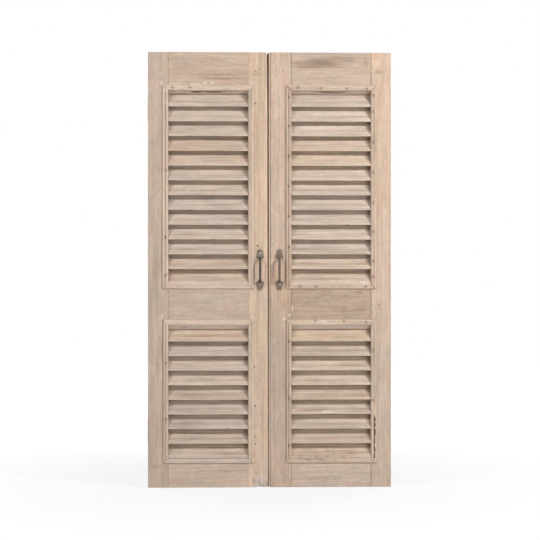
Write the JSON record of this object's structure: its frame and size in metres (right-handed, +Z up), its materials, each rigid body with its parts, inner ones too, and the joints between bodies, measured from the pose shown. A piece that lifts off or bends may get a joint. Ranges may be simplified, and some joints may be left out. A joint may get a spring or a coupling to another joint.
{
  "type": "vented window shutter",
  "caption": "Pair of louvred wooden window shutter leaves with planted beads and forged pulls, hinged to a slim wall-fixed hanging frame.",
  "frame": {"origin": "on the wall plane at the back of the hanging frame, in the middle of the four wall fixing holes", "axes": "+X to the right as seen from the front, +Y into the wall, +Z up"},
  "size_m": [0.7878, 0.1012, 1.4004],
  "materials": {
    "stile_wood": "bleached and weathered",
    "rail_wood": "bleached and weathered",
    "slat_wood": "bleached and weathered",
    "bead_wood": "bleached and weathered",
    "peg_wood": "end grain, weathered",
    "frame_wood": "bleached and weathered",
    "pull_iron": "forged, dark",
    "hinge_iron": "aged steel"
  },
  "bodies": {
    "frame": {"frame_left_jamb": "frame_wood", "frame_right_jamb": "frame_wood", "frame_head": "frame_wood", "frame_sill": "frame_wood", "frame_pegs": "peg_wood", "left_upper_hinge_frame_plate": "hinge_iron", "left_lower_hinge_frame_plate": "hinge_iron", "right_upper_hinge_frame_plate": "hinge_iron", "right_lower_hinge_frame_plate": "hinge_iron", "left_upper_hinge_pin": "hinge_iron", "left_lower_hinge_pin": "hinge_iron", "right_upper_hinge_pin": "hinge_iron", "right_lower_hinge_pin": "hinge_iron", "frame_hinge_screws": "hinge_iron"},
    "left_leaf": {"left_hinge_stile": "stile_wood", "left_meeting_stile": "stile_wood", "left_top_rail": "rail_wood", "left_mid_rail": "rail_wood", "left_bottom_rail": "rail_wood", "left_upper_slats": "slat_wood", "left_lower_slats": "slat_wood", "left_upper_top_bead": "bead_wood", "left_upper_meeting_bead": "bead_wood", "left_upper_bottom_bead": "bead_wood", "left_upper_hinge_bead": "bead_wood", "left_lower_top_bead": "bead_wood", "left_lower_meeting_bead": "bead_wood", "left_lower_bottom_bead": "bead_wood", "left_lower_hinge_bead": "bead_wood", "left_pull": "pull_iron", "left_pull_nails": "pull_iron", "left_tenon_pegs": "peg_wood", "left_upper_hinge_leaf_plate": "hinge_iron", "left_lower_hinge_leaf_plate": "hinge_iron", "left_hinge_screws": "hinge_iron"},
    "right_leaf": {"right_hinge_stile": "stile_wood", "right_meeting_stile": "stile_wood", "right_top_rail": "rail_wood", "right_mid_rail": "rail_wood", "right_bottom_rail": "rail_wood", "right_upper_slats": "slat_wood", "right_lower_slats": "slat_wood", "right_upper_top_bead": "bead_wood", "right_upper_meeting_bead": "bead_wood", "right_upper_bottom_bead": "bead_wood", "right_upper_hinge_bead": "bead_wood", "right_lower_top_bead": "bead_wood", "right_lower_meeting_bead": "bead_wood", "right_lower_bottom_bead": "bead_wood", "right_lower_hinge_bead": "bead_wood", "right_pull": "pull_iron", "right_pull_nails": "pull_iron", "right_tenon_pegs": "peg_wood", "right_upper_hinge_leaf_plate": "hinge_iron", "right_lower_hinge_leaf_plate": "hinge_iron", "right_hinge_screws": "hinge_iron"}
  },
  "joints": [
    {"name": "left_leaf_swing", "type": "hinge", "parent": "frame", "child": "left_leaf", "pos_m": [-0.3899, -0.041, 0], "axis": [0, 0, -1], "range_deg": [0, 170]},
    {"name": "right_leaf_swing", "type": "hinge", "parent": "frame", "child": "right_leaf", "pos_m": [0.3899, -0.041, 0], "axis": [0, 0, 1], "range_deg": [0, 170]}
  ]
}
